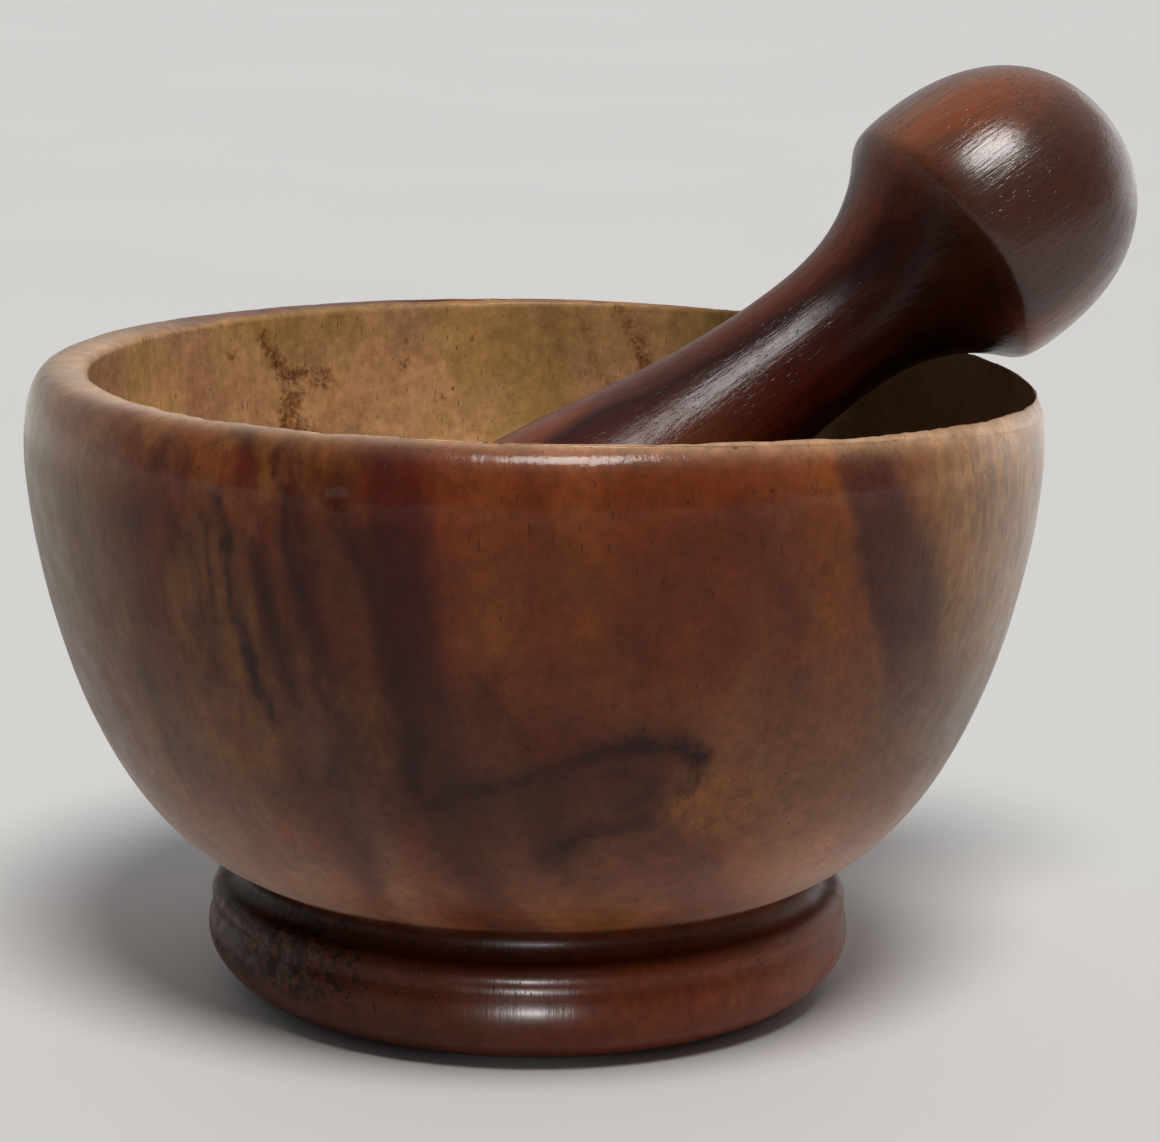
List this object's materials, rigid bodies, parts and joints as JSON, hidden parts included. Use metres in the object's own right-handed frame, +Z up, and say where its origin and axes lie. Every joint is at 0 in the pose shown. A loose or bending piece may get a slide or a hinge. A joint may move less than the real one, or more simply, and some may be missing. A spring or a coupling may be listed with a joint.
{
  "type": "mortar and pestle",
  "caption": "Turned wooden mortar with a bowl on a beaded foot, and a loose knobbed wooden pestle leaning in its hollow.",
  "frame": {"origin": "centre of the mortar's underside, on the axis of the bowl and foot", "axes": "+Z up along the bowl's axis; +X towards the side where the pestle's knob stands over the rim; -Y is the front"},
  "size_m": [0.1689, 0.152, 0.1387],
  "materials": {
    "mortar_wood": "satin oiled or waxed turned hardwood",
    "pestle_wood": "glossy turned dark red-brown hardwood"
  },
  "bodies": {
    "mortar": {"mortar": "mortar_wood"},
    "pestle": {"pestle": "pestle_wood"}
  },
  "joints": [
    {"name": "pestle_lift", "type": "slide", "parent": "mortar", "child": "pestle", "axis": [0, 0, 1], "range_m": [0, 0.08]}
  ]
}
